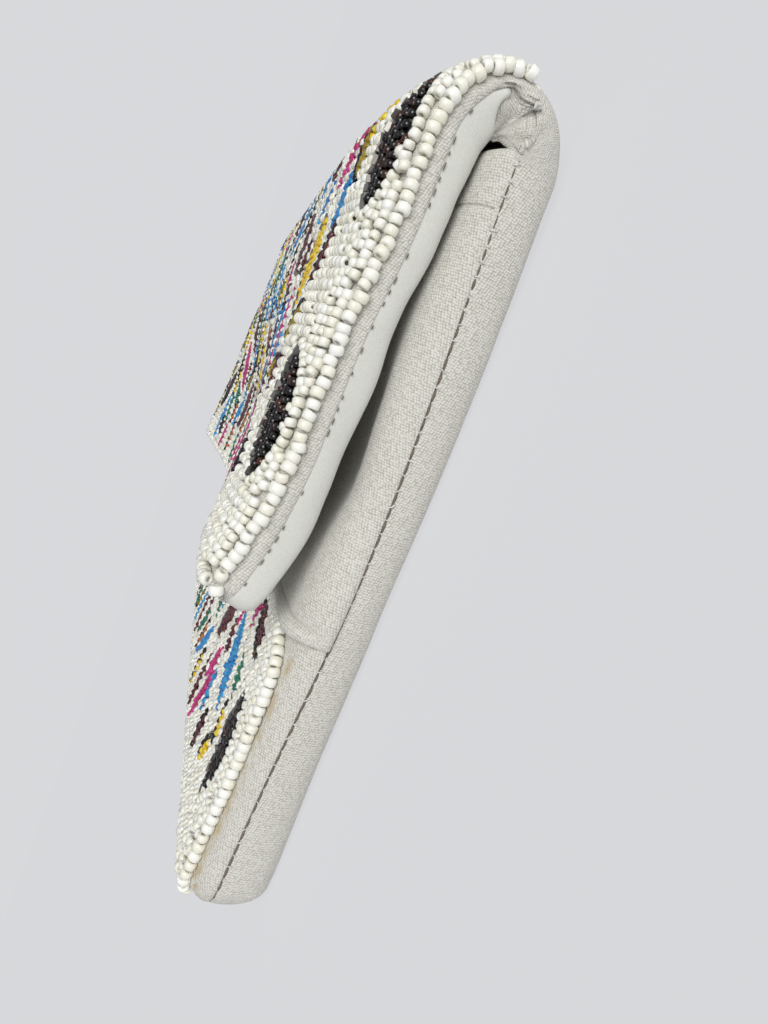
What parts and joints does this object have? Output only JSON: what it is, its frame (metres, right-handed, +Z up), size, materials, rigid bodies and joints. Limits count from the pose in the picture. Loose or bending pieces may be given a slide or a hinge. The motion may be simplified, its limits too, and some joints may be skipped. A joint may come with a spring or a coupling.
{
  "type": "clutch bag",
  "caption": "Padded canvas fold-over clutch bag: a hinged flap covered in glass beads closes with a magnetic snap over an open-topped pocket with a beaded lower front.",
  "frame": {"origin": "on the table under the middle of the bag, which lies on its back", "axes": "+X across the bag's width, +Y from the bottom edge to the top fold, +Z up from the back to the beaded flap"},
  "size_m": [0.27, 0.1698, 0.0364],
  "materials": {
    "canvas": "off-white plain-weave cotton canvas, matt",
    "lining": "smooth white cotton lining, matt",
    "wadding": "white polyester wadding, hidden between canvas and lining",
    "white_beads": "opaque cream glass seed beads, glossy",
    "black_beads": "opaque black-brown glass seed beads, glossy",
    "yellow_beads": "amber-yellow glass seed beads, glossy",
    "maroon_beads": "dark red glass seed beads, glossy",
    "blue_beads": "turquoise-blue glass seed beads, glossy",
    "magenta_beads": "magenta glass seed beads, glossy",
    "green_beads": "green glass seed beads, glossy",
    "nickel": "nickel-plated magnetic snap"
  },
  "bodies": {
    "bag": {"back_canvas": "canvas", "lower_front_canvas": "canvas", "upper_front_canvas": "canvas", "mouth_facing": "canvas", "back_lining": "lining", "front_lining": "lining", "back_wadding": "wadding", "front_wadding": "wadding", "front_bead_rows": "white_beads", "front_bead_string_left": "white_beads", "front_bead_string_right": "white_beads", "snap_socket": "nickel", "snap_socket_washer": "nickel", "front_leaf_1": "black_beads", "front_leaf_2": "yellow_beads", "front_leaf_3": "blue_beads", "front_leaf_4": "magenta_beads", "front_leaf_5": "green_beads", "front_leaf_6": "maroon_beads", "front_leaf_7": "blue_beads", "front_leaf_8": "black_beads"},
    "flap": {"flap_canvas": "canvas", "flap_lining": "lining", "flap_wadding": "wadding", "flap_bead_rows": "white_beads", "flap_bead_string_left": "white_beads", "flap_bead_string_right": "white_beads", "snap_stud": "nickel", "snap_stud_washer": "nickel", "flap_leaf_1": "black_beads", "flap_leaf_2": "maroon_beads", "flap_leaf_3": "blue_beads", "flap_leaf_4": "black_beads", "flap_leaf_5": "yellow_beads", "flap_leaf_6": "magenta_beads", "flap_leaf_7": "green_beads", "flap_leaf_8": "maroon_beads", "flap_leaf_9": "blue_beads", "flap_leaf_10": "yellow_beads", "flap_leaf_11": "maroon_beads", "flap_leaf_12": "blue_beads", "flap_leaf_13": "yellow_beads", "flap_leaf_14": "magenta_beads", "flap_leaf_15": "black_beads", "flap_leaf_16": "black_beads"}
  },
  "joints": [
    {"name": "flap_hinge", "type": "hinge", "parent": "bag", "child": "flap", "pos_m": [0, 0.08615, 0.014], "axis": [-1, 0, 0], "range_deg": [0, 165]}
  ]
}
